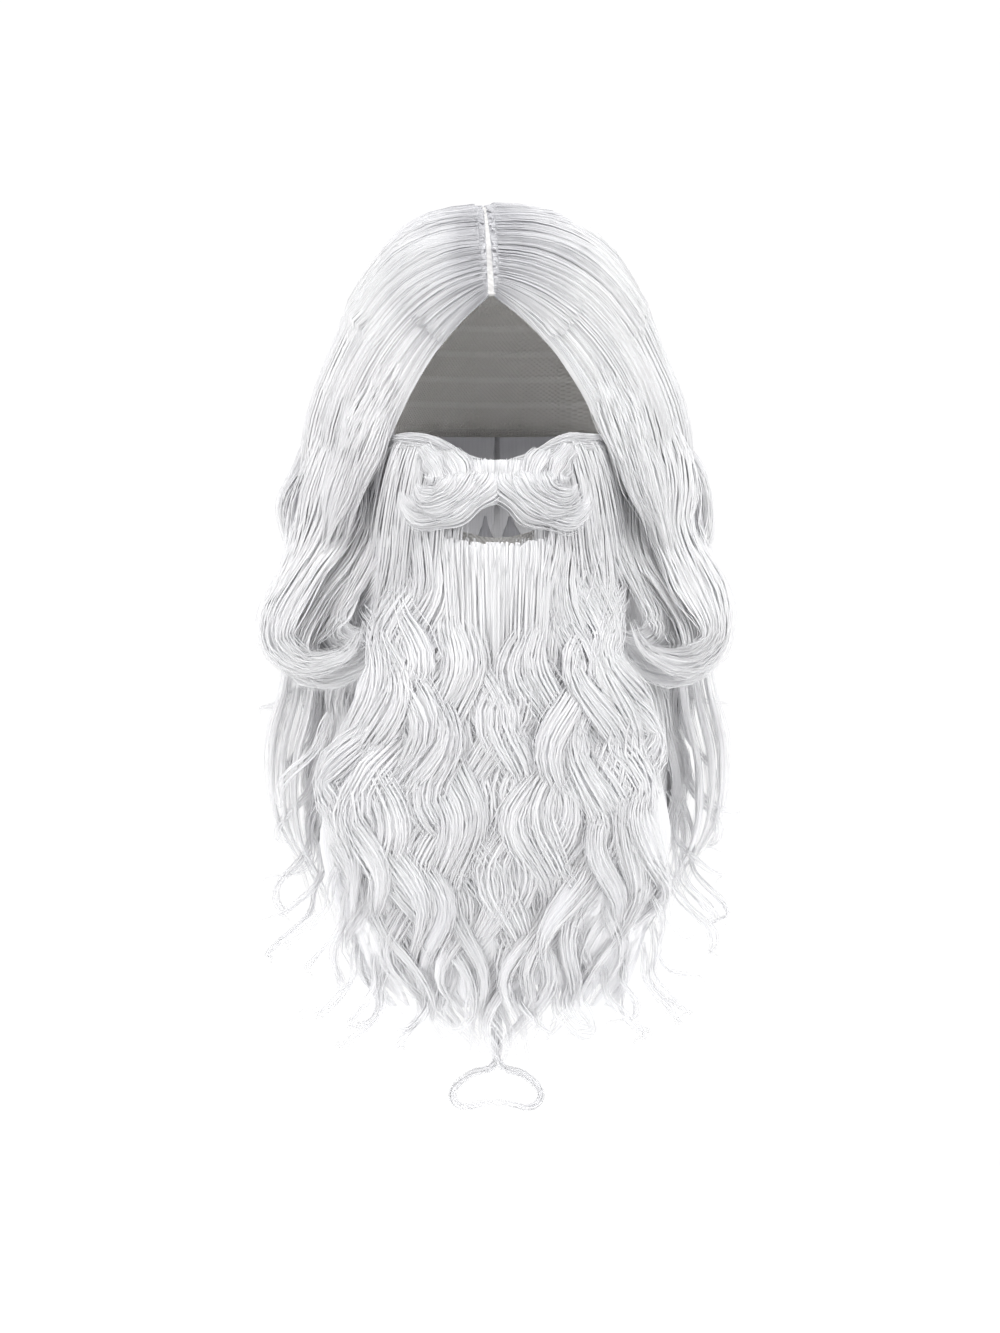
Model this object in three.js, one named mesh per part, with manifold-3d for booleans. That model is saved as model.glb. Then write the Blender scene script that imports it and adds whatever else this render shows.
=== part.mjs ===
// A long white costume wig with its matching beard and moustache, kept in the form that they
// have when worn. Millimetres, +Z up. The face looks along -Y and the origin is the top of the
// head, on the inside of the wig's cap. Left and right are the viewer's.
import * as THREE from "three";
import { LoftGeometry } from "three/addons/geometries/LoftGeometry.js";
import { mergeVertices } from "three/addons/utils/BufferGeometryUtils.js";
import Module from "manifold-3d";

const wasm = await Module();
wasm.setup();

// Head that the set is worn on
const headWide = 152;
const headDeep = 194;
const earDown = 95; // from the top of the head to its widest level
const jawDown = 170; // how far below that level the head would close again
const headSquareness = 2.3;

// Clearances
const gap = 0.3; // between pieces that lie against each other
const facetSag = 0.9; // how far a flat facet of a rounded form falls inside it
const strapSpace = 3.4; // between the head and the cap, where the beard's strap runs

// Cap of the wig
const capWall = 1.6;
const foreheadDown = 46; // front edge of the cap
const templeDown = 116;
const earNotchDown = 92;
const napeDown = 158;

// Hair of the wig
const crownRise = 8.6; // top of the hair above the head
const cheekDown = 140; // widest level of the smooth hair
const sideSpread = 36; // how far the hair stands out from the head at the sides
const foreSpread = 6;
const backSpread = 19;
const hairWide = headWide + 2 * sideSpread;
const hairFore = headDeep / 2 + foreSpread;
const hairBack = headDeep / 2 + backSpread;
const partWide = 7; // the parting strip at the forehead
const partThick = 2.4;
const partSlant = 7; // how far the parting leans to the left on its way back
const partShift = 3;
const ribDepth = 4;
const topThick = 5;
const sideThick = 13;
const edgeThick = 5;
const hairLong = 430; // top of the head to the ends of the long hair
const hairDeep = 17; // thickness of the long hair
const hairRidge = 7; // how far its locks stand out between their furrows
const hairSwing = 9; // how far they wave to the sides
const lockWide = 44;
const lockThick = 17;

// Beard
const noseDown = 141; // top of the beard under the nose
const cheekLift = 14; // its top edge is this much higher on the cheeks
const faceInset = 11; // the beard's backing ends this far inside the head's width
const faceWide = headWide - 2 * faceInset;
const faceFore = 105;
const faceBack = 38; // the beard's ends lie this far in front of the head's middle
const chinDown = 222;
const backingWall = 1.6;
const beardLong = 322; // nose to the ends of the beard
const beardSpread = 38; // how far the beard reaches beyond its backing on each side
const beardWide = faceWide + 2 * beardSpread;
const beardFore = 140;
const beardRidge = 7;
const beardSwing = 7;
const beardLockWide = 24;
const beardLockThick = 13;
const mouthWide = 52;
const mouthTopDown = 163;
const mouthBottomDown = 186;
const strapWide = 9;
const strapThick = 1.2;
const strapRise = 34; // the strap is this much higher at the back of the head
const moustacheWide = 29;
const moustacheThick = 13;
const curlWide = 50; // the heart-shaped curl under the beard
const curlTall = 28;
const curlThick = 4.2;

const hairColour = 0xf0f0f4;
const capColour = 0xe9e6e0;
const middle = new THREE.Vector3(0, 0, -earDown);

const lerp = THREE.MathUtils.lerp;
const smooth = (x, from, to) => THREE.MathUtils.smoothstep(x, from, to);
const radians = THREE.MathUtils.degToRad;

// The value of a column where the key column has the given value, between a table's rows.
function between(rows, key, at, column) {
  let i = 1;
  while (i < rows.length - 1 && rows[i][key] < at) i += 1;
  const [low, high] = [rows[i - 1], rows[i]];
  const share = (at - low[key]) / (high[key] - low[key]);
  return lerp(low[column], high[column], THREE.MathUtils.clamp(share, 0, 1));
}

// A closed three.js geometry as a solid.
function solidOf(geometry) {
  const bare = new THREE.BufferGeometry().setIndex(geometry.index);
  bare.setAttribute("position", geometry.attributes.position);
  const merged = mergeVertices(bare, 1e-4);
  return new wasm.Manifold(
    new wasm.Mesh({
      numProp: 3,
      vertProperties: new Float32Array(merged.attributes.position.array),
      triVerts: new Uint32Array(merged.index.array),
    }),
  );
}

function geometryOf(solid) {
  const mesh = solid.getMesh();
  return new THREE.BufferGeometry()
    .setAttribute("position", new THREE.BufferAttribute(mesh.vertProperties, 3))
    .setIndex(new THREE.BufferAttribute(mesh.triVerts, 1))
    .toNonIndexed();
}

// The largest of a solid's separate bodies: what a cut leaves beyond it is dropped.
const mainBody = (solid) =>
  solid.simplify(0.01).decompose().sort((a, b) => b.volume() - a.volume())[0];
const fuse = (solids) => solids.reduce((all, one) => all.add(one));

const centreOf = (ring) =>
  ring.reduce((sum, p) => sum.add(p), new THREE.Vector3()).divideScalar(ring.length);

// A closed body through rings of points, which are turned to run the way that a loft needs.
function loft(sections) {
  const ring = sections[0];
  const onward = centreOf(sections[1]).sub(centreOf(ring));
  const facing = new THREE.Vector3();
  ring.forEach((p, i) => facing.add(p.clone().cross(ring[(i + 1) % ring.length])));
  const rings = facing.dot(onward) > 0 ? sections : sections.map((one) => [...one].reverse());
  return solidOf(new LoftGeometry(rings, { capStart: true, capEnd: true }));
}

// Distance from the middle of the head to its surface, grown by some millimetres.
function headReach(way, grow) {
  const flat = Math.hypot(way.x / (headWide / 2 + grow), way.y / (headDeep / 2 + grow));
  const tall = Math.abs(way.z) / ((way.z > 0 ? earDown : jawDown) + grow);
  return (flat ** headSquareness + tall ** headSquareness) ** (-1 / headSquareness);
}

// A point on the head, grown by some millimetres, at a turn from the front and a height.
function headPoint(turn, z, grow) {
  const tall = Math.abs(z + earDown) / ((z > -earDown ? earDown : jawDown) + grow);
  const wide = (1 - tall ** headSquareness) ** (1 / headSquareness);
  const [x, y] = [Math.sin(radians(turn)), -Math.cos(radians(turn))];
  const reach = wide / Math.hypot(x / (headWide / 2 + grow), y / (headDeep / 2 + grow));
  return new THREE.Vector3(reach * x, reach * y, z);
}

// Outline of the smooth hair from the top of the hair down to the cheeks. Down is a share of
// that height, and the others are shares of half the hair's width and of its reach to the front
// and the back.
const outline = [
  { down: 0, wide: 0, fore: 0, back: 0 },
  { down: 0.007, wide: 0.12, fore: 0.18, back: 0.18 },
  { down: 0.018, wide: 0.24, fore: 0.32, back: 0.32 },
  { down: 0.045, wide: 0.38, fore: 0.47, back: 0.46 },
  { down: 0.094, wide: 0.49, fore: 0.62, back: 0.6 },
  { down: 0.208, wide: 0.63, fore: 0.83, back: 0.79 },
  { down: 0.351, wide: 0.735, fore: 0.94, back: 0.9 },
  { down: 0.472, wide: 0.8, fore: 0.98, back: 0.95 },
  { down: 0.602, wide: 0.865, fore: 1, back: 0.98 },
  { down: 0.755, wide: 0.945, fore: 1, back: 1 },
  { down: 0.885, wide: 0.985, fore: 0.98, back: 1 },
  { down: 1, wide: 1, fore: 0.95, back: 0.98 },
  { down: 1.2, wide: 1, fore: 0.9, back: 0.94 },
];

// Distance from the middle of the head to the outside of the smooth hair.
function hairReach(way) {
  let [low, high] = [0, 2 * hairWide];
  for (let i = 0; i < 40; i += 1) {
    const reach = (low + high) / 2;
    const down = (crownRise - (reach * way.z - earDown)) / (crownRise + cheekDown);
    const wide = (between(outline, "down", down, "wide") * hairWide) / 2;
    const deep =
      way.y < 0
        ? between(outline, "down", down, "fore") * hairFore
        : between(outline, "down", down, "back") * hairBack;
    const inside =
      down > 0 && Math.hypot((reach * way.x) / wide, (reach * way.y) / deep) < 1;
    if (inside) low = reach;
    else high = reach;
  }
  return low;
}

// How the smooth hair is combed: from the parting, over a middle direction, to the level of
// the cheeks. Part is the place along the parting, from the forehead to the crown, and end is
// how far down the row of hair reaches, as a share of the way to the cheeks.
const combing = [
  { row: 0, part: 0, midTurn: 27, midTilt: 4, turn: 37, end: 1.08 },
  { row: 1, part: 0.05, midTurn: 42, midTilt: 14, turn: 52, end: 1.08 },
  { row: 2, part: 0.16, midTurn: 60, midTilt: 24, turn: 66, end: 1.04 },
  { row: 3, part: 0.32, midTurn: 80, midTilt: 30, turn: 84, end: 1 },
  { row: 4, part: 0.5, midTurn: 100, midTilt: 34, turn: 104, end: 1 },
  { row: 5, part: 0.7, midTurn: 120, midTilt: 34, turn: 126, end: 1.02 },
  { row: 6, part: 0.9, midTurn: 145, midTilt: 32, turn: 150, end: 1.05 },
  { row: 7, part: 1, midTurn: 178, midTilt: 30, turn: 179.6, end: 1.08 },
];
const ribCount = 9;
const ribEnds = 0.14; // how much further down each rib reaches than its furrows
const combSteps = 7;
const partFrontTilt = 26; // the parting's ends, as seen from the middle of the head
const partBackTilt = 106;

// The parting's place at a share of its length, on a body grown from the head.
function partingWay(share) {
  const tilt = radians(lerp(partFrontTilt, partBackTilt, share));
  const lean = -(partShift + partSlant * share) / (earDown + crownRise);
  return new THREE.Vector3(lean, -Math.cos(tilt), Math.sin(tilt)).normalize();
}

const partHalf = (share) =>
  (partWide / 2) * lerp(1, 0.42, smooth(share, 0, 0.6)) * (1 - 0.7 * smooth(share, 0.75, 1));

function wayTo(turn, z) {
  const down = (crownRise - z) / (crownRise + cheekDown);
  const wide = (between(outline, "down", down, "wide") * hairWide) / 2;
  const deep = turn < 90 ? hairFore : hairBack;
  return new THREE.Vector3(
    wide * Math.sin(radians(turn)),
    -deep * Math.cos(radians(turn)),
    z + earDown,
  ).normalize();
}

// Direction of the hair at a row of the combing and a share of its length.
function combWay(side, row, share, extra) {
  const at = (column) => between(combing, "row", row, column);
  const root = partingWay(at("part"));
  root.x += (side * (partHalf(at("part")) + gap)) / (earDown + crownRise);
  const [turn, tilt] = [radians(at("midTurn")), radians(at("midTilt"))];
  const bend = new THREE.Vector3(
    side * Math.sin(turn) * Math.cos(tilt),
    -Math.cos(turn) * Math.cos(tilt),
    Math.sin(tilt),
  );
  const tip = wayTo(at("turn"), -cheekDown * (at("end") + extra));
  tip.x *= side;
  return new THREE.QuadraticBezierCurve3(root, bend, tip).getPoint(share).normalize();
}

// The upright plane where the hair of the two sides meets behind the parting.
const seamX = (z) => -(partShift + partSlant) * (1 + z / cheekDown);

// Smooth hair of one side, from the parting to the cheeks and round to the back. Its ribs run
// along the hair. It is grown all round by some millimetres to cut room for it.
function crownShell(side, grow = 0) {
  const sections = [];
  const rows = 2 * ribCount;
  for (let i = 0; i <= rows; i += 1) {
    const row = (i / rows) * (combing.length - 1);
    const rib = i % 2 ? 0.5 : -0.5;
    const [outer, inner] = [[], []];
    for (let j = 0; j <= combSteps; j += 1) {
      const share = j / combSteps + (j < combSteps ? 0 : grow / cheekDown);
      const way = combWay(side, row, share, rib * ribEnds);
      const out = hairReach(way) + rib * ribDepth * smooth(share, 0, 0.5) + grow;
      const cap = headReach(way, strapSpace + capWall + gap) + facetSag;
      const full = lerp(topThick, sideThick, smooth(share, 0, 0.5));
      const thick = lerp(full, edgeThick, smooth(share, 0.65, 1)) + 2 * grow;
      const place = (reach) => {
        const p = way.clone().multiplyScalar(reach).add(middle);
        if (i === rows) p.x = seamX(p.z) + side * (gap / 2 - grow);
        return p;
      };
      outer.push(place(out));
      inner.push(place(Math.max(cap - grow, out - thick)));
    }
    sections.push([...outer, ...inner.reverse()]);
  }
  return loft(sections);
}

// A lock of hair: a flattened tube along a curve, thin at its tip. Facing gives the outward
// direction at a point, and the width lies across it.
function lock(points, wide, thick, facing, { grow = 0, tip = 0.16, root = 0.7, sides = 6 } = {}) {
  const curve = new THREE.CatmullRomCurve3(points);
  const steps = Math.max(6, Math.round(curve.getLength() / 18));
  const sections = [];
  for (let i = 0; i <= steps; i += 1) {
    const t = i / steps;
    const centre = curve.getPointAt(t);
    const along = curve.getTangentAt(t);
    const across = facing(centre).cross(along).normalize();
    const out = along.clone().cross(across);
    if (i % steps === 0) centre.addScaledVector(along, i ? grow : -grow);
    const full = lerp(root, 1, smooth(t, 0, 0.3)) * lerp(1, tip, smooth(t, 0.45, 1) ** 1.4);
    const ring = [];
    for (let k = 0; k < sides; k += 1) {
      const angle = (2 * Math.PI * k) / sides;
      ring.push(
        centre
          .clone()
          .addScaledVector(across, Math.cos(angle) * ((full * wide) / 2 + grow))
          .addScaledVector(out, Math.sin(angle) * ((full * thick) / 2 + grow)),
      );
    }
    sections.push(ring);
  }
  return loft(sections);
}

// Outward from the head for the wig's hair, and forward for the beard's.
const fromHead = (p) =>
  new THREE.Vector3(p.x / hairWide ** 2, p.y / (2 * hairBack) ** 2, 0).normalize();
const fromFace = (p) => new THREE.Vector3(p.x / beardWide, -1, 0).normalize();

// A place in the wig's long hair. Out is a share of half the hair's width, back of the hair's
// reach to the back, with the front below zero, and down of the long hair.
const wigPlace = (side, out, back, down) =>
  new THREE.Vector3(side * out * (hairWide / 2), back * hairBack, -down * hairLong);

// Front lock beside the face, from the temple to its tip on the cheek.
const frontLock = [
  { out: 0.33, back: -0.7, down: 0.135 },
  { out: 0.47, back: -0.72, down: 0.205 },
  { out: 0.58, back: -0.72, down: 0.267 },
  { out: 0.67, back: -0.71, down: 0.337 },
  { out: 0.73, back: -0.69, down: 0.39 },
  { out: 0.77, back: -0.66, down: 0.44 },
];

// Big wave beside the beard: down over the ear, out over the shoulder and back in.
const bigCurl = [
  { out: 0.72, back: -0.38, down: 0.22 },
  { out: 0.86, back: -0.44, down: 0.33 },
  { out: 0.88, back: -0.5, down: 0.41 },
  { out: 0.98, back: -0.56, down: 0.475 },
  { out: 1.06, back: -0.6, down: 0.53 },
  { out: 1.04, back: -0.63, down: 0.575 },
  { out: 0.88, back: -0.66, down: 0.592 },
  { out: 0.72, back: -0.68, down: 0.57 },
];

// Long hair that hangs from under the smooth hair. Down is a share of the hair's length, and
// wide and back are shares of half the hair's width and of its reach to the back.
const hanging = [
  { down: 0.27, wide: 0.86, back: 0.87, deep: 0.55 },
  { down: 0.33, wide: 0.915, back: 0.905, deep: 0.65 },
  { down: 0.37, wide: 0.935, back: 0.91, deep: 0.75 },
  { down: 0.44, wide: 1.01, back: 0.96, deep: 1 },
  { down: 0.5, wide: 1.03, back: 0.94, deep: 1 },
  { down: 0.58, wide: 0.99, back: 0.9, deep: 0.95 },
  { down: 0.68, wide: 0.94, back: 0.86, deep: 0.85 },
  { down: 0.78, wide: 0.98, back: 0.83, deep: 0.85 },
  { down: 0.88, wide: 0.93, back: 0.79, deep: 0.7 },
  { down: 1, wide: 0.82, back: 0.74, deep: 0.3 },
];
const hangingFore = 66; // how far the long hair comes to the front at the sides
const sideTurn = 130; // the side hair meets the back hair at this turn from the front
const hangingWaves = 2.7;
const hangingRows = 15;

// Alternates between the ridge of a lock and the furrow beside it.
const ridge = (k) => (k % 2 ? 1 : -0.6);

// A place in the long hair at a turn from the front.
function hangingPoint(turn, down, inward) {
  const wide = (between(hanging, "down", down, "wide") * hairWide) / 2 - inward;
  const back = between(hanging, "down", down, "back") * hairBack - inward;
  const [x, y] = [Math.sin(radians(turn)), -Math.cos(radians(turn))];
  return new THREE.Vector3(wide * x, y * (y < 0 ? hangingFore - inward : back), -down * hairLong);
}

// Locks of long hair side by side, between two turns from the front.
function hangingHair(from, to, locks, grow = 0) {
  const columns = 2 * locks;
  const sections = [];
  for (let k = 0; k <= columns; k += 1) {
    const [outer, inner] = [[], []];
    const at = lerp(from, to, k / columns);
    const side = at < 180 ? Math.sign(at) : -1;
    const fromFront = side > 0 ? at : (360 - at) % 360;
    const ends = Math.sign(to - from) * (k === 0 ? -grow : k === columns ? grow : 0);
    const long = 1 - (k % 2 ? 0 : 0.08) - 0.04 * (1 + Math.sin(fromFront / 5));
    for (let i = 0; i <= hangingRows; i += 1) {
      const level = i / hangingRows;
      const down = lerp(hanging[0].down, long, level);
      const turnOf = 2 * Math.PI * (hangingWaves * level + fromFront / 180);
      const swing = hairSwing * smooth(level, 0.14, 0.4);
      const calm = smooth(Math.abs(fromFront - sideTurn), 0, 16) * (1 - smooth(fromFront, 160, 180));
      const aside = side * swing * Math.sin(turnOf) * calm;
      const turn = at + THREE.MathUtils.radToDeg((aside + ends) / hairBack);
      const proud = hairRidge * ridge(k) * smooth(level, 0.14, 0.36) * lerp(1, 0.4, level);
      const sway = 0.4 * swing * Math.cos(turnOf);
      const deep = between(hanging, "down", down, "deep") * hairDeep;
      outer.push(hangingPoint(turn, down, -proud - sway - grow));
      inner.push(hangingPoint(turn, down, deep - 0.4 * proud - sway + grow));
    }
    outer[0].z += grow;
    inner[0].z += grow;
    outer[hangingRows].z -= grow;
    inner[hangingRows].z -= grow;
    sections.push([...outer, ...inner.reverse()]);
  }
  return loft(sections);
}

// The outermost side lock, which leaves an opening between itself and the hair behind it.
const outerLock = [
  { out: 1.0, back: -0.1, down: 0.36 },
  { out: 1.05, back: -0.16, down: 0.45 },
  { out: 1.04, back: -0.24, down: 0.53 },
  { out: 1.08, back: -0.3, down: 0.62 },
  { out: 1.15, back: -0.3, down: 0.7 },
  { out: 1.13, back: -0.26, down: 0.79 },
  { out: 1.0, back: -0.2, down: 0.86 },
  { out: 0.92, back: -0.2, down: 0.93 },
];

function sideHair(side, grow = 0) {
  return fuse([
    hangingHair(side * 52, side * sideTurn, 5, grow),
    tableLock(side, outerLock, 0.5 * lockWide, 0.55 * lockThick, { grow, tip: 0.2 }),
  ]);
}

function tableLock(side, table, wide, thick, options = {}) {
  const points = table.map((row) => wigPlace(side, row.out, row.back, row.down));
  return lock(points, wide, thick, fromHead, options);
}

function frontHair(side, grow = 0) {
  return fuse([
    crownShell(side, grow),
    tableLock(side, frontLock, 0.85 * lockWide, 0.8 * lockThick, { grow, tip: 0.08, root: 0.35 }),
    tableLock(side, bigCurl, 0.75 * lockWide, 1.2 * lockThick, { grow, tip: 0.45, root: 0.5 }),
  ]);
}

// The head down to the neck, grown by some millimetres.
function headDome(grow) {
  const sections = [];
  const rings = 10;
  const sides = 24;
  for (let i = 0; i <= rings; i += 1) {
    const tilt = radians(lerp(-52, 88, i / rings));
    const ring = [];
    for (let k = 0; k < sides; k += 1) {
      const turn = (2 * Math.PI * (k + 0.5)) / sides;
      const way = new THREE.Vector3(
        Math.cos(turn) * Math.cos(tilt),
        Math.sin(turn) * Math.cos(tilt),
        Math.sin(tilt),
      );
      ring.push(way.clone().multiplyScalar(headReach(way, grow)).add(middle));
    }
    sections.push(ring);
  }
  return loft(sections);
}

function makeCap() {
  // What lies under the cap's edge, seen from the side: forehead, temple, ear and nape.
  const edge = new THREE.Shape();
  const front = -headDeep;
  edge.moveTo(front, -foreheadDown);
  edge.lineTo(-0.86 * (headDeep / 2), -foreheadDown);
  edge.quadraticCurveTo(-0.66 * (headDeep / 2), -foreheadDown, -0.56 * (headDeep / 2), -templeDown);
  edge.lineTo(-0.4 * (headDeep / 2), -templeDown);
  edge.quadraticCurveTo(-0.28 * (headDeep / 2), -earNotchDown, 0, -earNotchDown);
  edge.quadraticCurveTo(0.3 * (headDeep / 2), -earNotchDown, 0.5 * (headDeep / 2), -napeDown);
  edge.lineTo(headDeep, -napeDown);
  edge.lineTo(headDeep, -2 * napeDown);
  edge.lineTo(front, -2 * napeDown);
  const below = new THREE.ExtrudeGeometry(edge, {
    depth: 2 * headWide,
    bevelEnabled: false,
    curveSegments: 4,
  });
  below.translate(0, 0, -headWide);
  below.applyMatrix4(
    new THREE.Matrix4().makeBasis(
      new THREE.Vector3(0, 1, 0),
      new THREE.Vector3(0, 0, 1),
      new THREE.Vector3(1, 0, 0),
    ),
  );
  return headDome(strapSpace + capWall).subtract(headDome(strapSpace)).subtract(solidOf(below));
}

function makeParting() {
  const sections = [];
  const steps = 12;
  for (let i = 0; i <= steps; i += 1) {
    const share = (0.95 * i) / steps;
    const way = partingWay(share);
    const low = headReach(way, strapSpace + capWall + gap);
    const half = Math.max(partHalf(share) - gap, gap / 2);
    const place = (x, reach) => way.clone().multiplyScalar(reach).add(middle).add(new THREE.Vector3(x, 0, 0));
    sections.push([
      place(-half, low),
      place(-half, low + partThick),
      place(half, low + partThick),
      place(half, low),
    ]);
  }
  return loft(sections);
}

// The beard's sections from its top edge to its ends. Down is a share of the beard's length,
// half and fore are shares of half its width and of its reach to the front, centre is where
// the arc's middle lies, and deep is the thickness of the hair in front.
const beardSections = [
  { down: 0, half: 0.685, fore: 0.795, centre: 0.27, deep: 3 },
  { down: 0.045, half: 0.7, fore: 0.82, centre: 0.27, deep: 8 },
  { down: 0.1, half: 0.71, fore: 0.85, centre: 0.27, deep: 12 },
  { down: 0.17, half: 0.715, fore: 0.875, centre: 0.28, deep: 15 },
  { down: 0.25, half: 0.72, fore: 0.91, centre: 0.33, deep: 20 },
  { down: 0.33, half: 0.74, fore: 0.94, centre: 0.42, deep: 25 },
  { down: 0.43, half: 0.82, fore: 0.96, centre: 0.54, deep: 29 },
  { down: 0.54, half: 0.93, fore: 0.97, centre: 0.62, deep: 30 },
  { down: 0.65, half: 0.98, fore: 0.96, centre: 0.67, deep: 28 },
  { down: 0.74, half: 0.95, fore: 0.93, centre: 0.69, deep: 24 },
  { down: 0.83, half: 0.85, fore: 0.9, centre: 0.7, deep: 18 },
  { down: 0.91, half: 0.73, fore: 0.87, centre: 0.71, deep: 12 },
  { down: 0.97, half: 0.58, fore: 0.85, centre: 0.72, deep: 7 },
  { down: 1, half: 0.42, fore: 0.84, centre: 0.72, deep: 5 },
];
const beardSpan = 84; // degrees of arc on each side of the middle
const beardLocks = 11; // ridges and furrows on each side of the middle
const beardWaves = 3.6;
const lipRise = 4; // the short hair under the mouth stands out this much

// Height of a place on the beard: its top edge rises over the cheeks.
function beardZ(down, angle) {
  const lift = cheekLift * smooth(Math.abs(angle), 8, 38) * (1 - smooth(down, 0, 0.3));
  return -noseDown - down * beardLong + lift;
}

// A point in front of the face at a share of the beard's length and an angle round it, pushed
// in from the outside of the hair.
function beardPoint(down, angle, inward) {
  const at = (column) => between(beardSections, "down", down, column);
  const half = (at("half") * beardWide) / 2 - inward;
  const centre = -at("centre") * beardFore;
  const fore = at("fore") * beardFore + centre - inward;
  return new THREE.Vector3(
    half * Math.sin(radians(angle)),
    centre - fore * Math.cos(radians(angle)),
    beardZ(down, angle),
  );
}

// The wearer's lower face, grown by some millimetres, where the backing lies.
function facePoint(down, angle, grow) {
  const chin = smooth(down, 0.12, 0.27);
  const half = (faceWide / 2) * lerp(1, 0.86, chin) + grow;
  const fore = (faceFore - faceBack) * lerp(1, 0.88, chin) + grow;
  return new THREE.Vector3(
    half * Math.sin(radians(angle)),
    -faceBack - fore * Math.cos(radians(angle)),
    beardZ(down, angle),
  );
}


// The mouth's hole: an arch over a flat curve.
function mouthHole(grow) {
  const half = mouthWide / 2 + grow;
  const corner = -lerp(mouthTopDown, mouthBottomDown, 0.62);
  const hole = new THREE.Shape();
  hole.moveTo(-half, corner);
  hole.quadraticCurveTo(0, -mouthBottomDown - grow - 5, half, corner);
  hole.quadraticCurveTo(half * 0.35, -mouthTopDown + grow, 0, -mouthTopDown + grow);
  hole.quadraticCurveTo(-half * 0.35, -mouthTopDown + grow, -half, corner);
  const through = new THREE.ExtrudeGeometry(hole, { depth: beardFore, bevelEnabled: false, curveSegments: 6 });
  through.rotateX(Math.PI / 2);
  return solidOf(through);
}

const backingEnd = (chinDown - noseDown) / beardLong;

// The sheet that the beard's hair grows from, with its mouth still closed.
function backingSheet(grow = 0) {
  const edge = grow / beardLong;
  const columns = 14;
  const rows = 6;
  const sections = [];
  for (let i = 0; i <= rows; i += 1) {
    const down = lerp(0.008 - edge, backingEnd + edge, i / rows);
    const ring = (out) =>
      Array.from({ length: columns + 1 }, (_, k) =>
        facePoint(down, lerp(-beardSpan, beardSpan, k / columns), out),
      );
    sections.push([...ring(backingWall + gap + grow), ...ring(gap - grow).reverse()]);
  }
  return loft(sections);
}

// Loose locks at the beard's sides. Out is a share of half the beard's width and down of its
// length, and fore is a share of its reach to the front.
const looseLocks = [
  [
    { out: 0.68, down: 0.5, fore: 0.86 },
    { out: 0.9, down: 0.6, fore: 0.84 },
    { out: 1.08, down: 0.66, fore: 0.8 },
    { out: 1.1, down: 0.74, fore: 0.78 },
    { out: 0.96, down: 0.78, fore: 0.8 },
  ],
  [
    { out: 0.6, down: 0.66, fore: 0.9 },
    { out: 0.82, down: 0.75, fore: 0.88 },
    { out: 0.95, down: 0.82, fore: 0.86 },
    { out: 0.88, down: 0.9, fore: 0.86 },
    { out: 0.74, down: 0.9, fore: 0.88 },
  ],
];

// One side of the moustache: the sweep from under the nose that curls under at its end, and
// the band along the top of the beard. Out is a share of half the mouth's width, down is the
// way from the nose to the mouth's corner, and proud is how far it stands out from the face.
const sweep = [
  { out: 0.16, down: 0.3, proud: 15 },
  { out: 0.6, down: 0.36, proud: 18 },
  { out: 1.08, down: 0.52, proud: 19 },
  { out: 1.45, down: 0.58, proud: 18 },
  { out: 1.72, down: 0.5, proud: 16 },
  { out: 1.76, down: 0.34, proud: 13 },
];

function moustache(side, grow = 0) {
  const tall = mouthBottomDown - noseDown;
  const points = sweep.map((row) => {
    const x = (row.out * mouthWide) / 2;
    const angle = THREE.MathUtils.radToDeg(Math.asin(x / (faceWide / 2)));
    const p = facePoint(0, angle, row.proud);
    return new THREE.Vector3(side * p.x, p.y, -noseDown - row.down * tall);
  });
  return lock(points, moustacheWide, moustacheThick, fromFace, { grow, tip: 0.3, root: 0.6, sides: 10 });
}

// The curl that ends the beard: a thin strand that opens into a heart-shaped loop.
const heart = [
  { out: 0, down: -2 },
  { out: 0.02, down: -0.05 },
  { out: 0.4, down: 0.22 },
  { out: 0.86, down: 0.6 },
  { out: 0.98, down: 0.84 },
  { out: 0.72, down: 1 },
  { out: 0.3, down: 0.94 },
  { out: 0, down: 0.86 },
];

function tipCurl() {
  const y = beardPoint(0.9, 0, 6).y;
  const half = (side) =>
    lock(
      heart.map(
        (row) =>
          new THREE.Vector3(
            side * row.out * (curlWide / 2),
            y,
            -noseDown - beardLong - curlTall * (row.down + 0.36),
          ),
      ),
      curlThick,
      curlThick,
      fromFace,
      { tip: 0.9, root: 1, sides: 6 },
    );
  return half(-1).add(half(1));
}

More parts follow.
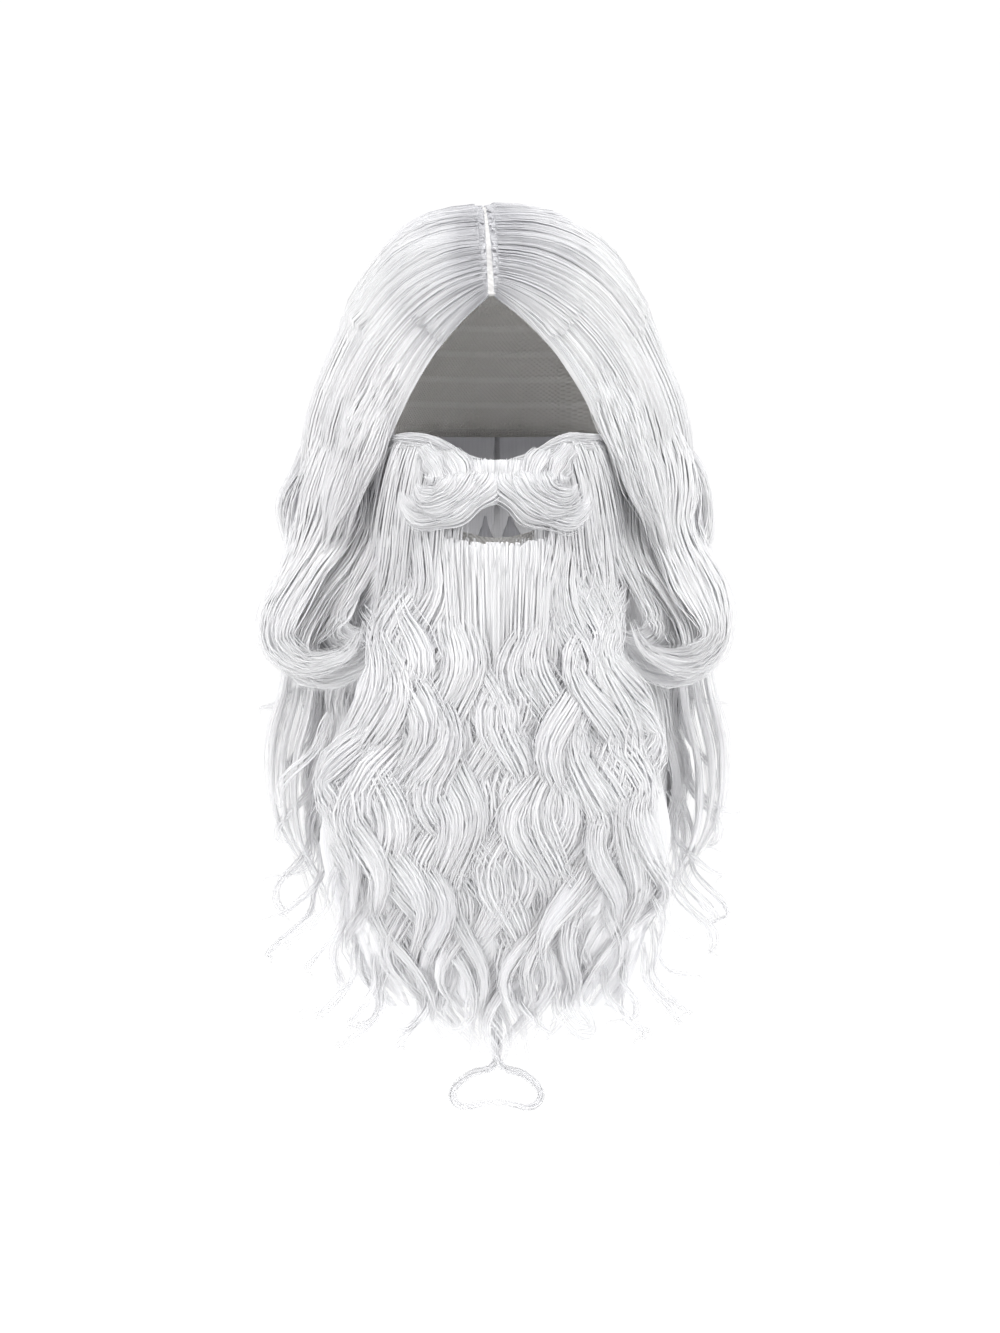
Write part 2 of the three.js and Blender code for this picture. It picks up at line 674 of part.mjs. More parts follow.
// Hair of the beard: a sheet of locks side by side that wave together, and the loose locks.
// Its upper part lies on the backing and the rest hangs free.
function makeBeardHair() {
  const sections = [];
  const rows = 21;
  const last = beardSections[beardSections.length - 1].down;
  for (let k = -beardLocks; k <= beardLocks; k += 1) {
    const [outer, inner] = [[], []];
    const [side, step] = [Math.sign(k), Math.abs(k)];
    const long = 1 - (step % 2 ? 0 : 0.045) - 0.02 * (1 + Math.sin(1.7 * step));
    for (let i = 0; i <= rows; i += 1) {
      const level = i / rows;
      const down = last * level * lerp(1, long, smooth(level, 0.4, 1));
      const turnOf = 2 * Math.PI * (beardWaves * level - 0.11 * step);
      const free = smooth(down, 0.12, 0.3);
      const swing = beardSwing * lerp(0.25, 1, free);
      const half = (between(beardSections, "down", down, "half") * beardWide) / 2;
      const shift = THREE.MathUtils.radToDeg((side * swing * Math.sin(turnOf)) / half);
      const angle = (k / beardLocks) * beardSpan + shift * (1 - (step / beardLocks) ** 4);
      const proud = beardRidge * ridge(step) * lerp(0.3, 1, free) * lerp(1, 0.5, level);
      const sway = 0.35 * swing * free * Math.cos(turnOf);
      const backing = facePoint(down, angle, backingWall + 3 * gap);
      const deep = between(beardSections, "down", down, "deep");
      const hang = smooth(down, backingEnd, backingEnd + 0.06);
      const under = smooth(down, 0.13, 0.15) * (1 - smooth(down, 0.19, 0.25));
      const lip = lipRise * under * (1 - smooth(Math.abs(angle), 20, 30));
      outer.push(beardPoint(down, angle, -proud - sway - lip));
      inner.push(backing.lerp(beardPoint(down, angle, deep - 0.5 * proud - sway), hang));
    }
    sections.push([...outer, ...inner.reverse()]);
  }
  const loose = [-1, 1].flatMap((side) =>
    looseLocks.map((rows) => {
      const points = rows.map(
        (row) =>
          new THREE.Vector3(
            (side * row.out * beardWide) / 2,
            -row.fore * beardFore,
            -noseDown - row.down * beardLong,
          ),
      );
      return lock(points, beardLockWide, beardLockThick, fromFace, { tip: 0.25, root: 0.8 });
    }),
  );
  return fuse([loft(sections), ...loose, tipCurl()]);
}

// Elastic strap from one end of the beard's backing round the back of the head to the other.
function makeStrap(grow = 0) {
  const sections = [];
  const steps = 32;
  const start = beardSpan + 1.2;
  const frontZ = -noseDown - 0.04 * beardLong;
  const near = facePoint(0.04, start, gap);
  for (let i = 0; i <= steps; i += 1) {
    const share = i / steps;
    const fromEnd = Math.min(share, 1 - share);
    const turn = lerp(start, 360 - start, share);
    const z = frontZ + strapRise * smooth(fromEnd, 0, 0.4);
    const place = (out, rise) => {
      const onHead = headPoint(turn, z, gap + out);
      const x = (near.x + out) * (share < 0.5 ? 1 : -1);
      const onFace = new THREE.Vector3(x, near.y + fromEnd * 2 * headDeep, z);
      return onFace.lerp(onHead, smooth(fromEnd, 0, 0.16)).setZ(z + rise);
    };
    const half = strapWide / 2 + grow;
    sections.push([
      place(-grow, -half),
      place(strapThick + grow, -half),
      place(strapThick + grow, half),
      place(-grow, half),
    ]);
  }
  return loft(sections);
}

const bothSides = (make) => make(-1).add(make(1));
const cap = makeCap();
const backing = backingSheet().subtract(mouthHole(0));
const roomForInside = fuse([
  headDome(strapSpace + capWall + gap),
  backingSheet(gap),
  makeStrap(gap),
]);
const [frontLeft, frontRight] = [-1, 1].map((side) =>
  mainBody(frontHair(side).subtract(roomForInside)),
);
const roomForFront = bothSides((side) => frontHair(side, gap)).add(frontLeft).add(frontRight);
const [sidesLeft, sidesRight] = [-1, 1].map((side) =>
  mainBody(sideHair(side).subtract(roomForFront).subtract(roomForInside)),
);
const roomForSides = bothSides((side) => sideHair(side, gap)).add(sidesLeft).add(sidesRight);
const back = hangingHair(sideTurn + 0.5, 359.5 - sideTurn, 6)
  .subtract(roomForFront)
  .subtract(roomForSides)
  .subtract(roomForInside);
const beard = makeBeardHair()
  .subtract(mouthHole(2))
  .subtract(bothSides((side) => moustache(side, gap)))
  .subtract(roomForFront)
  .subtract(roomForSides)
  .subtract(roomForInside);

const set = new THREE.Group();
const looks = {
  hair: { color: hairColour, roughness: 0.42, metalness: 0 },
  cap: { color: capColour, roughness: 0.85, metalness: 0 },
};

function addPiece(name, solid, look) {
  const mesh = new THREE.Mesh(geometryOf(mainBody(solid)), new THREE.MeshStandardMaterial(looks[look]));
  mesh.name = name;
  set.add(mesh);
}

addPiece("wig_cap", cap, "cap");
addPiece("parting_strip", makeParting(), "cap");
addPiece("front_hair_left", frontLeft, "hair");
addPiece("front_hair_right", frontRight, "hair");
addPiece("side_waves_left", sidesLeft, "hair");
addPiece("side_waves_right", sidesRight, "hair");
addPiece("back_waves", back, "hair");
addPiece("beard_backing", backing, "cap");
addPiece("beard_strap", makeStrap(), "cap");
addPiece("beard_hair", beard, "hair");
addPiece("moustache_left", moustache(-1), "hair");
addPiece("moustache_right", moustache(1), "hair");

export default set;
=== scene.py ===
# %% [markdown]
# A long white wavy costume wig with its full beard and moustache.
# The measured frame is loaded first, and everything that follows is placed in it, in metres.

# %% Load the frame
from math import pi, radians, tau

import bpy
import numpy as np
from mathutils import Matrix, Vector


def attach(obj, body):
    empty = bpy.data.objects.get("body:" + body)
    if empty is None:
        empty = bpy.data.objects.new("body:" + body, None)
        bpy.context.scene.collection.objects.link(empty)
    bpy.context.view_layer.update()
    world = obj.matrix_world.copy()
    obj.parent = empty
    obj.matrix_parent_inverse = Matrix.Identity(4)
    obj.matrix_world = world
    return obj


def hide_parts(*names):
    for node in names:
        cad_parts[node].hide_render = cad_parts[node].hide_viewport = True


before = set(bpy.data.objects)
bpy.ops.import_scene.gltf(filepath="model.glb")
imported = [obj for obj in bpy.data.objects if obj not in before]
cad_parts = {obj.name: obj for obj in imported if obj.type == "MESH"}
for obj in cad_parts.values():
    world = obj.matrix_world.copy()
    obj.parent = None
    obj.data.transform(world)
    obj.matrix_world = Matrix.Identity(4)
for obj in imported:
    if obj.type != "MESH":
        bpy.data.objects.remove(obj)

bpy.ops.object.select_all(action="DESELECT")
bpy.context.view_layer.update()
MM = 0.001

# %% [markdown]
# The camera stands level with the middle of the set and far away, as for a catalogue picture.
# A long lens keeps the width of the near beard and the far hair in proportion. The picture is
# 0.56 m wide at the middle of the set.

# %% Camera
VIEW_HEIGHT = 0.7465
CAMERA_FAR = 3.2
camera_data = bpy.data.cameras.new("camera")
camera_data.sensor_fit = "VERTICAL"
camera_data.sensor_height = 24
camera_data.lens = 24 * CAMERA_FAR / VIEW_HEIGHT
camera = bpy.data.objects.new("camera", camera_data)
camera.location = (0.0017, -CAMERA_FAR - 0.08, -0.2556)
camera.rotation_euler = (pi / 2, 0, 0)
bpy.context.collection.objects.link(camera)
bpy.context.scene.camera = camera
print("lens:", round(camera_data.lens, 1), "mm")

# %% [markdown]
# Shader maths reads best as ordinary expressions. Wire holds one socket of a node, and adding,
# multiplying or subtracting wires adds the Math node that does it. Any other node comes from
# Looks.node, which takes the node's type, its settings and the values or links of its sockets.

# %% Shader expressions


class Wire:
    def __init__(self, looks, socket):
        self.looks = looks
        self.socket = socket

    def maths(self, operation, *values):
        node = self.looks.node("ShaderNodeMath", {"operation": operation}, list(values))
        return Wire(self.looks, node.outputs[0])

    def __add__(self, other):
        return self.maths("ADD", self, other)

    def __sub__(self, other):
        return self.maths("SUBTRACT", self, other)

    def __rsub__(self, other):
        return self.maths("SUBTRACT", other, self)

    def __mul__(self, other):
        return self.maths("MULTIPLY", self, other)

    def __pow__(self, other):
        return self.maths("POWER", self, other)

    __radd__ = __add__
    __rmul__ = __mul__


class Looks:
    """A material, with a short way to add nodes to it."""

    def __init__(self, name):
        self.material = bpy.data.materials.new(name)
        self.material.use_nodes = True
        self.tree = self.material.node_tree
        self.shader = self.tree.nodes["Principled BSDF"]

    def node(self, kind, settings=None, sockets=None):
        node = self.tree.nodes.new(kind)
        for key, value in (settings or {}).items():
            setattr(node, key, value)
        pairs = sockets.items() if isinstance(sockets, dict) else enumerate(sockets or [])
        for key, value in pairs:
            self.link(value, node.inputs[key])
        return node

    def link(self, value, socket):
        if isinstance(value, Wire):
            self.tree.links.new(value.socket, socket)
        else:
            socket.default_value = value

    def wire(self, node, output=0):
        return Wire(self, node.outputs[output])

    def noise(self, vector, scale, detail=2.0, rough=0.5):
        sockets = {"Vector": vector, "Scale": scale, "Detail": detail, "Roughness": rough}
        return self.wire(self.node("ShaderNodeTexNoise", {}, sockets))

    def mix(self, share, first, second):
        node = self.node("ShaderNodeMix", {"data_type": "RGBA"})
        self.link(share, node.inputs[0])
        self.link(first, node.inputs[6])
        self.link(second, node.inputs[7])
        return self.wire(node, 2)

    def join(self, x, y, z):
        return self.wire(self.node("ShaderNodeCombineXYZ", {}, [x, y, z]))

    def bump(self, height, distance, strength=1.0):
        sockets = {"Strength": strength, "Distance": distance, "Height": height}
        node = self.node("ShaderNodeBump", {}, sockets)
        self.link(self.wire(node), self.shader.inputs["Normal"])

    def surface(self, **values):
        for key, value in values.items():
            self.link(value, self.shader.inputs[key.replace("_", " ")])


# %% [markdown]
# The fibre is a white, slightly bluish synthetic with a silky gloss. Each lock carries an
# attribute called strand: the place across the lock, the place along it, both in millimetres,
# and a number of its own. A noise that is squeezed across and stretched along turns into fine
# fibres, which give the colour its streaks and break up the highlight through the bump.
# Near its root each strand is painted with shade: over its first 6 to 62 mm the colour is
# mixed towards a grey of 0.45, standing in for the shade by the parting. A broad noise shifts
# where this painted shade ends and adds random patches of slightly darker tone.

# %% Fibre material


def fibre_looks(name, light, dark, gloss, root):
    looks = Looks(name)
    strand = looks.node("ShaderNodeAttribute", {"attribute_name": "strand"})
    parts = looks.node("ShaderNodeSeparateXYZ", {}, [looks.wire(strand, 1)])
    across, along, own = (looks.wire(parts, i) for i in range(3))
    fine = looks.noise(looks.join(across * 2.4, along * 0.02, own * 40), 1.0, 3.0, 0.6)
    broad = looks.noise(looks.join(across * 0.7, along * 0.012, own * 17), 1.0, 1.0)
    streak = fine * 0.65 + broad * 0.35
    share = looks.wire(
        looks.node(
            "ShaderNodeMapRange",
            {},
            {"Value": streak + (own - 0.5) * 0.14, "From Min": 0.3, "From Max": 0.62},
        )
    )
    place = looks.wire(looks.node("ShaderNodeTexCoord"), 3)
    drift = looks.noise(place, 24.0, 1.0)
    # Painted shade at the roots: the first 6 to 62 mm along a strand, shifted by the drift noise, is mixed towards
    # grey; root is the share of fibre colour kept at the very root.
    deep = {"Value": along + (drift - 0.5) * 60, "From Min": 6.0, "From Max": 62.0, "To Min": root}
    painted_root_shade_and_tone = looks.wire(looks.node("ShaderNodeMapRange", {}, deep))
    # The drift noise adds random patches of slightly darker tone on top of the painted root shade.
    painted_root_shade_and_tone = painted_root_shade_and_tone * looks.wire(
        looks.node("ShaderNodeMapRange", {}, {"Value": drift, "From Min": 0.36, "From Max": 0.6, "To Min": 0.9})
    )
    # The painted root shade mixes the fibre colour towards the grey of 0.45 below.
    coloured = looks.mix(share, (*dark, 1), (*light, 1))
    looks.surface(
        Base_Color=looks.mix(painted_root_shade_and_tone, (0.45, 0.45, 0.48, 1), coloured),
        Roughness=gloss + (streak - 0.5) * 0.25,
        IOR=1.5,
        Subsurface_Weight=0.5,
        Subsurface_Radius=(1, 1, 1),
        Subsurface_Scale=0.0015,
    )
    looks.bump(streak, 0.0005, 0.4)
    return looks.material


# The last number is the share of fibre colour kept by the painted shade at the roots: deep grey at the wig's roots by
# the parting, only slight on the beard.
hair_looks = fibre_looks("wig_fibre", (0.965, 0.965, 0.975), (0.87, 0.87, 0.89), 0.28, 0.12)
beard_looks = fibre_looks("beard_fibre", (0.955, 0.955, 0.968), (0.82, 0.82, 0.845), 0.28, 0.9)
print("fibre materials:", hair_looks.name, beard_looks.name)

# %% [markdown]
# Hair is thousands of thin closed shapes, which no hand could place one by one, so they are
# written as arrays: tubes makes a whole batch of tapered strands, each with its own path, width
# and thickness, and sheet_body makes one closed sheet from an outer and an inner grid of points.
# A piece of hair joins such bodies into one mesh.

# %% Hair bodies


def unit(vectors):
    return vectors / np.maximum(np.linalg.norm(vectors, axis=-1, keepdims=True), 1e-9)


def tubes(paths, out, half_width, half_thick, sides=4, own=None, turn=0.0):
    """Closed strands along paths of shape (strands, steps, 3), in millimetres."""
    count, steps = paths.shape[:2]
    tangent = unit(np.gradient(paths, axis=1))
    across = unit(np.cross(out, tangent))
    facing = np.cross(tangent, across)
    angle = tau * np.arange(sides) / sides + turn
    flat, tall = np.cos(angle), np.sin(angle)
    half_width = np.broadcast_to(half_width, (count, steps))[..., None]
    half_thick = np.broadcast_to(half_thick, (count, steps))[..., None]
    points = (
        paths[:, :, None]
        + across[:, :, None] * (flat * half_width)[..., None]
        + facing[:, :, None] * (tall * half_thick)[..., None]
    )
    length = np.cumsum(np.linalg.norm(np.diff(paths, axis=1, prepend=paths[:, :1]), axis=2), axis=1)
    own = np.linspace(0, 1, count) if own is None else own
    mark = np.empty(points.shape)
    mark[..., 0] = flat * half_width + (own * 997)[:, None, None]
    mark[..., 1] = length[..., None]
    mark[..., 2] = own[:, None, None]
    ids = np.arange(count * steps * sides).reshape(count, steps, sides)
    near, far = ids[:, :-1], ids[:, 1:]
    quads = np.stack([near, np.roll(near, -1, 2), np.roll(far, -1, 2), far], -1).reshape(-1, 4)
    start = ids[:, 0, ::-1]
    end = ids[:, -1]
    if sides == 4:
        return points.reshape(-1, 3), [quads, start, end], mark.reshape(-1, 3)
    fans = [
        np.stack([cap[:, [0] * (sides - 2)], cap[:, 1:-1], cap[:, 2:]], -1).reshape(-1, 3)
        for cap in (start, end)
    ]
    return points.reshape(-1, 3), [quads, *fans], mark.reshape(-1, 3)


def sheet_body(outer, inner, own=0.5):
    """A closed sheet between two grids of shape (across, along, 3), in millimetres."""
    wide, long = outer.shape[:2]
    points = np.concatenate([outer.reshape(-1, 3), inner.reshape(-1, 3)])
    top = np.arange(wide * long).reshape(wide, long)
    low = top + wide * long

    def faces(grid):
        return np.stack(
            [grid[:-1, :-1], grid[1:, :-1], grid[1:, 1:], grid[:-1, 1:]], -1
        ).reshape(-1, 4)

    rim = np.concatenate([top[:, 0], top[-1, 1:], top[-2::-1, -1], top[0, -2:0:-1]])
    under = rim + wide * long
    wall = np.stack([rim, under, np.roll(under, -1), np.roll(rim, -1)], -1)
    quads = np.concatenate([faces(top), faces(low)[:, ::-1], wall])
    a, b, c = (points[quads[:, i]] for i in range(3))
    d = points[quads[:, 3]]
    inward = (np.einsum("ij,ij->i", a, np.cross(b, c)) + np.einsum("ij,ij->i", a, np.cross(c, d))).sum() < 0
    if inward:
        quads = quads[:, ::-1]
    aside = np.cumsum(np.linalg.norm(np.diff(outer, axis=0, prepend=outer[:1]), axis=2).mean(1))
    down = np.cumsum(np.linalg.norm(np.diff(outer, axis=1, prepend=outer[:, :1]), axis=2).mean(0))
    mark = np.empty(outer.shape)
    mark[..., 0], mark[..., 1], mark[..., 2] = aside[:, None], down[None], own
    mark = np.concatenate([mark.reshape(-1, 3)] * 2)
    return points, [quads], mark


def make_piece(name, bodies, looks, nodes=()):
    """Joins bodies into one smooth-shaded mesh that rides with the set."""
    points, marks, corners, starts, sizes = [], [], [], [], []
    offset = loops = 0
    for body_points, body_faces, body_marks in bodies:
        points.append(body_points)
        marks.append(body_marks)
        for faces in body_faces:
            corners.append((faces + offset).reshape(-1))
            sizes.append(np.full(len(faces), faces.shape[1]))
            starts.append(loops + np.arange(len(faces)) * faces.shape[1])
            loops += faces.size
        offset += len(body_points)
    mesh = bpy.data.meshes.new(name)
    mesh.vertices.add(offset)
    mesh.vertices.foreach_set("co", (np.concatenate(points) * MM).astype(np.float32).ravel())
    mesh.loops.add(loops)
    mesh.loops.foreach_set("vertex_index", np.concatenate(corners).astype(np.int32))
    size = np.concatenate(sizes)
    mesh.polygons.add(len(size))
    mesh.polygons.foreach_set("loop_start", np.concatenate(starts).astype(np.int32))
    mesh.polygons.foreach_set("use_smooth", np.ones(len(size), bool))
    strand = mesh.attributes.new("strand", "FLOAT_VECTOR", "POINT")
    strand.data.foreach_set("vector", np.concatenate(marks).astype(np.float32).ravel())
    mesh.update(calc_edges=True)
    mesh.validate()
    piece = bpy.data.objects.new(name, mesh)
    bpy.context.collection.objects.link(piece)
    mesh.materials.append(looks)
    bpy.ops.object.select_all(action="DESELECT")
    piece.select_set(True)
    bpy.context.view_layer.objects.active = piece
    bpy.ops.object.shade_smooth_by_angle(angle=radians(75))
    piece.select_set(False)
    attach(piece, "root")
    if nodes:
        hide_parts(*nodes)
    print(name, "triangles:", int((size - 2).sum()))
    return piece


# %% [markdown]
# The forms follow the same few tables as the measured model: the smooth crown is combed from
# the parting over the head, the long hair hangs in an oval round the neck, and the beard's front
# is a row of arcs. Each of these functions turns a place in the hairdo into a point and the way
# that faces out from the head there, in millimetres.

# %% Form of the crown
EAR_DOWN, JAW_DOWN = 95.0, 170.0
HEAD = np.array([76.0, 97.0])
MIDDLE = np.array([0.0, 0.0, -EAR_DOWN])
CROWN_RISE, CHEEK_DOWN = 8.6, 140.0
HAIR_WIDE, HAIR_FORE, HAIR_BACK = 224.0, 103.0, 116.0
OUTLINE = {
    "down": [0, 0.007, 0.018, 0.045, 0.094, 0.208, 0.351, 0.472, 0.602, 0.755, 0.885, 1, 1.2],
    "wide": [0, 0.12, 0.24, 0.38, 0.49, 0.63, 0.735, 0.8, 0.865, 0.945, 0.985, 1, 1],
    "fore": [0, 0.18, 0.32, 0.47, 0.62, 0.83, 0.94, 0.98, 1, 1, 0.98, 0.95, 0.9],
    "back": [0, 0.18, 0.32, 0.46, 0.6, 0.79, 0.9, 0.95, 0.98, 1, 1, 0.98, 0.94],
}
COMBING = {
    "row": [0, 1, 2, 3, 4, 5, 6, 7],
    "part": [0, 0.05, 0.16, 0.32, 0.5, 0.7, 0.9, 1],
    "mid_turn": [27, 42, 60, 80, 100, 120, 145, 183],
    "mid_tilt": [4, 14, 24, 30, 34, 34, 32, 30],
    "turn": [37, 52, 66, 84, 104, 126, 150, 180.5],
    "end": [1.08, 1.08, 1.04, 1, 1, 1.02, 1.05, 1.08],
}
PART_WIDE, PART_SLANT, PART_SHIFT = 7.0, 7.0, 3.0


def smooth(value, low, high):
    share = np.clip((np.asarray(value, float) - low) / (high - low), 0, 1)
    return share * share * (3 - 2 * share)


def column(table, key, at, name):
    return np.interp(at, table[key], table[name])


def vector(x, y, z):
    return np.stack(np.broadcast_arrays(x, y, z), -1).astype(float)


def hair_reach(way):
    low = np.zeros(way.shape[:-1])
    high = low + 2 * HAIR_WIDE
    for _ in range(24):
        reach = (low + high) / 2
        down = (CROWN_RISE - (reach * way[..., 2] - EAR_DOWN)) / (CROWN_RISE + CHEEK_DOWN)
        wide = column(OUTLINE, "down", down, "wide") * HAIR_WIDE / 2
        fore = column(OUTLINE, "down", down, "fore") * HAIR_FORE
        back = column(OUTLINE, "down", down, "back") * HAIR_BACK
        deep = np.where(way[..., 1] < 0, fore, back)
        flat = np.hypot(reach * way[..., 0] / (wide + 1e-6), reach * way[..., 1] / (deep + 1e-6))
        inside = (down > 0) & (flat < 1)
        low = np.where(inside, reach, low)
        high = np.where(inside, high, reach)
    return low


def comb_way(side, row, share, extra=0.0):
    """Direction from the middle of the head, at a row of the combing and a share of its length."""
    part = column(COMBING, "row", row, "part")
    tilt = np.radians(26 + 80 * part)
    half = PART_WIDE / 2 * (1 - 0.58 * smooth(part, 0, 0.6)) * (1 - 0.7 * smooth(part, 0.75, 1))
    lean = (-(PART_SHIFT + PART_SLANT * part) + side * half * 0.45) / (EAR_DOWN + CROWN_RISE)
    root = unit(vector(lean, -np.cos(tilt), np.sin(tilt)))
    turn = np.radians(column(COMBING, "row", row, "mid_turn"))
    lift = np.radians(column(COMBING, "row", row, "mid_tilt"))
    bend = vector(side * np.sin(turn) * np.cos(lift), -np.cos(turn) * np.cos(lift), np.sin(lift))
    end = -CHEEK_DOWN * (column(COMBING, "row", row, "end") + extra)
    turn = np.radians(column(COMBING, "row", row, "turn"))
    down = (CROWN_RISE - end) / (CROWN_RISE + CHEEK_DOWN)
    wide = column(OUTLINE, "down", down, "wide") * HAIR_WIDE / 2
    deep = np.where(turn < pi / 2, HAIR_FORE, HAIR_BACK)
    tip = unit(vector(side * wide * np.sin(turn), -deep * np.cos(turn), end + EAR_DOWN))
    t = np.asarray(share, float)[..., None]
    return unit(root * (1 - t) ** 2 + bend * 2 * t * (1 - t) + tip * t * t)


def crown_point(side, row, share, lift=0.0, extra=0.0):
    way = comb_way(side, row, share, extra)
    reach = hair_reach(way) + lift
    return way * reach[..., None] + MIDDLE, way


top, _ = crown_point(-1, np.array([2.0]), np.array([0.1]))
print("hair near the parting:", top.round(1))

# %% Form of the long hair
HAIR_LONG = 430.0
HANGING = {
    "down": [0.27, 0.33, 0.37, 0.44, 0.5, 0.58, 0.68, 0.78, 0.88, 1],
    "wide": [0.86, 0.915, 0.935, 1.01, 1.03, 0.99, 0.94, 0.98, 0.93, 0.82],
    "back": [0.87, 0.905, 0.91, 0.96, 0.94, 0.9, 0.86, 0.83, 0.79, 0.74],
}
HANGING_FORE = 66.0


def hanging_point(turn, down, inward=0.0):
    """A place in the long hair, with the turn from the front in degrees."""
    wide = column(HANGING, "down", down, "wide") * HAIR_WIDE / 2 - inward
    back = column(HANGING, "down", down, "back") * HAIR_BACK - inward
    x, y = np.sin(np.radians(turn)), -np.cos(np.radians(turn))
    deep = np.where(y < 0, HANGING_FORE - inward, back)
    point = vector(wide * x, y * deep, -np.asarray(down) * HAIR_LONG)
    return point, unit(vector(x / wide, y / deep, 0))


# %% Form of the beard
NOSE_DOWN, CHEEK_LIFT = 141.0, 14.0
BEARD_LONG, BEARD_WIDE, BEARD_FORE = 322.0, 206.0, 140.0
BEARD = {
    "down": [0, 0.045, 0.1, 0.17, 0.25, 0.33, 0.43, 0.54, 0.65, 0.74, 0.83, 0.91, 0.97, 1],
    "half": [0.685, 0.7, 0.71, 0.715, 0.72, 0.74, 0.82, 0.93, 0.98, 0.95, 0.85, 0.73, 0.58, 0.42],
    "fore": [0.795, 0.82, 0.85, 0.875, 0.91, 0.94, 0.96, 0.97, 0.96, 0.93, 0.9, 0.87, 0.85, 0.84],
    "centre": [0.27, 0.27, 0.27, 0.28, 0.33, 0.42, 0.54, 0.62, 0.67, 0.69, 0.7, 0.71, 0.72, 0.72],
    "deep": [3, 8, 12, 15, 20, 25, 29, 30, 28, 24, 18, 12, 7, 5],
}


def beard_point(down, angle, inward=0.0):
    """A place on the beard at a share of its length and an angle round it in degrees."""
    half = column(BEARD, "down", down, "half") * BEARD_WIDE / 2 - inward
    centre = -column(BEARD, "down", down, "centre") * BEARD_FORE
    fore = column(BEARD, "down", down, "fore") * BEARD_FORE + centre - inward
    lift = CHEEK_LIFT * smooth(np.abs(angle), 8, 38) * (1 - smooth(down, 0, 0.3))
    x, y = np.sin(np.radians(angle)), -np.cos(np.radians(angle))
    point = vector(half * x, centre + fore * y, -NOSE_DOWN - np.asarray(down) * BEARD_LONG + lift)
    return point, unit(vector(x / half, y / fore, 0))


print("front of the beard:", beard_point(np.array([0.5]), np.array([0.0]))[0].round(1))

# %% [markdown]
# Wavy hair hangs in locks. A lock is a line with a flattened section that narrows to its tip.
# Its core is one smooth body that nobody sees, and strands lie on it side by side and turn
# slowly about it, so that the light runs along them as on a real curl. Coarse strands give the
# lock its grooves, and fine ones soften its edge and its tip.

# %% A lock of hair
dice = np.random.default_rng(11)
FEW = 1.0


def bend_through(points, steps):
    """Smooth paths through points of shape (strands, points, 3)."""
    chord = np.linalg.norm(np.diff(points.mean(0), axis=0), axis=1) ** 0.6
    knots = np.concatenate([[0], np.cumsum(chord)])
    at = np.interp(np.linspace(0, knots[-1], steps), knots, np.arange(len(knots)))
    ends = (2 * points[:, :1] - points[:, 1:2], 2 * points[:, -1:] - points[:, -2:-1])
    padded = np.concatenate([ends[0], points, ends[1]], 1)
    low = np.clip(at.astype(int), 0, points.shape[1] - 2)
    t = (at - low)[None, :, None]
    p0, p1, p2, p3 = (padded[:, low + i] for i in range(4))
    bend = (2 * p0 - 5 * p1 + 4 * p2 - p3) * t**2 + (3 * p1 - p0 - 3 * p2 + p3) * t**3
    return 0.5 * (2 * p1 + (p2 - p0) * t + bend)


def curve(points, steps):
    return bend_through(np.asarray(points, float)[None], steps)[0]


def lock_width(t, root, tip, breath, phase):
    """Width of a lock along it, as a share of its full width."""
    full = (root + (1 - root) * smooth(t, 0, 0.25)) * (1 - (1 - tip) * smooth(t, 0.5, 1) ** 1.4)
    return full * (1 + breath * np.sin(3.2 * tau * t + phase))


def lock(path, out, wide, thick, coarse=20, fine=14, twist=0.25, tip=0.2, root=0.6, **more):
    """Bodies of one lock along a path of points, in millimetres."""
    top, loose, cut = more.get("top"), more.get("loose", 1.0), more.get("cut", 0.16)
    nodes = more.get("nodes", 28)
    steps = len(path)
    t = np.linspace(0, 1, steps)
    full = lock_width(t, root, tip, more.get("breath", 0.14), dice.uniform(0, tau))
    full = full * more.get("profile", 1.0)
    tangent = unit(np.gradient(path, axis=0))
    across = unit(np.cross(out, tangent))
    facing = np.cross(tangent, across)
    thin = (smooth(t, 0, 0.12) * 0.9 + 0.1) * (1 - 0.9 * smooth(t, 0.7, 1))
    sunk = thick * (0.12 + 0.6 * (1 - smooth(t, 0, 0.2)))
    low = path - facing * sunk[:, None]
    core = tubes(low[None], out[None], (full * thin * wide * 0.37)[None], (full * thin * thick * 0.3)[None], 8, dice.random(1))
    bodies = [core] if more.get("core", True) else []
    for count, half, reach in ((int(coarse * FEW**0.5), 0.022 * wide + 0.42, 0.86), (int(fine * FEW), 0.25, 1.12)):
        if count < 1:
            continue
        place = (np.arange(count) + dice.uniform(0.1, 0.9, count)) / count
        phase = pi * (1.12 * place - 0.06) if more.get("laid", True) else tau * place
        spot = reach * np.sqrt(dice.uniform(0.55, 1, count))
        end = 1 - cut * dice.random(count) ** 1.5
        at = np.linspace(0, 1, nodes)[None] * end[:, None]
        turn = phase[:, None] + twist * tau * (at - 0.5)
        aside = spot[:, None] * np.cos(turn) * wide / 2
        above = spot[:, None] * np.sin(turn) * thick / 2
        waves = dice.uniform(1.5, 3.5, count)[:, None]
        wander = loose * (0.35 + 0.02 * wide) * np.sin(tau * waves * at + phase[:, None] * 5)
        index = at * (steps - 1)
        before = np.clip(index.astype(int), 0, steps - 2)
        rest = (index - before)[..., None]

        def pick(values):
            return values[before] * (1 - rest) + values[before + 1] * rest

        size = pick(full[:, None])[..., 0]
        paths = pick(path) + pick(across) * ((aside + wander) * size)[..., None]
        paths = paths + pick(facing) * (above * size)[..., None]
        outward = pick(facing)
        if top is not None:
            paths, outward = join_crown(paths, outward, top, np.cos(phase) * spot)
        along = np.linspace(0, 1, paths.shape[1])[None]
        taper = half * dice.uniform(0.75, 1.2, count)[:, None] * (1 - 0.88 * along**4) * (0.4 + 0.6 * smooth(along, 0, 0.1))
        bodies.append(tubes(paths, outward, taper, taper * (0.35 if half > 0.3 else 1), 3, dice.random(count), pi / 2))
    return bodies


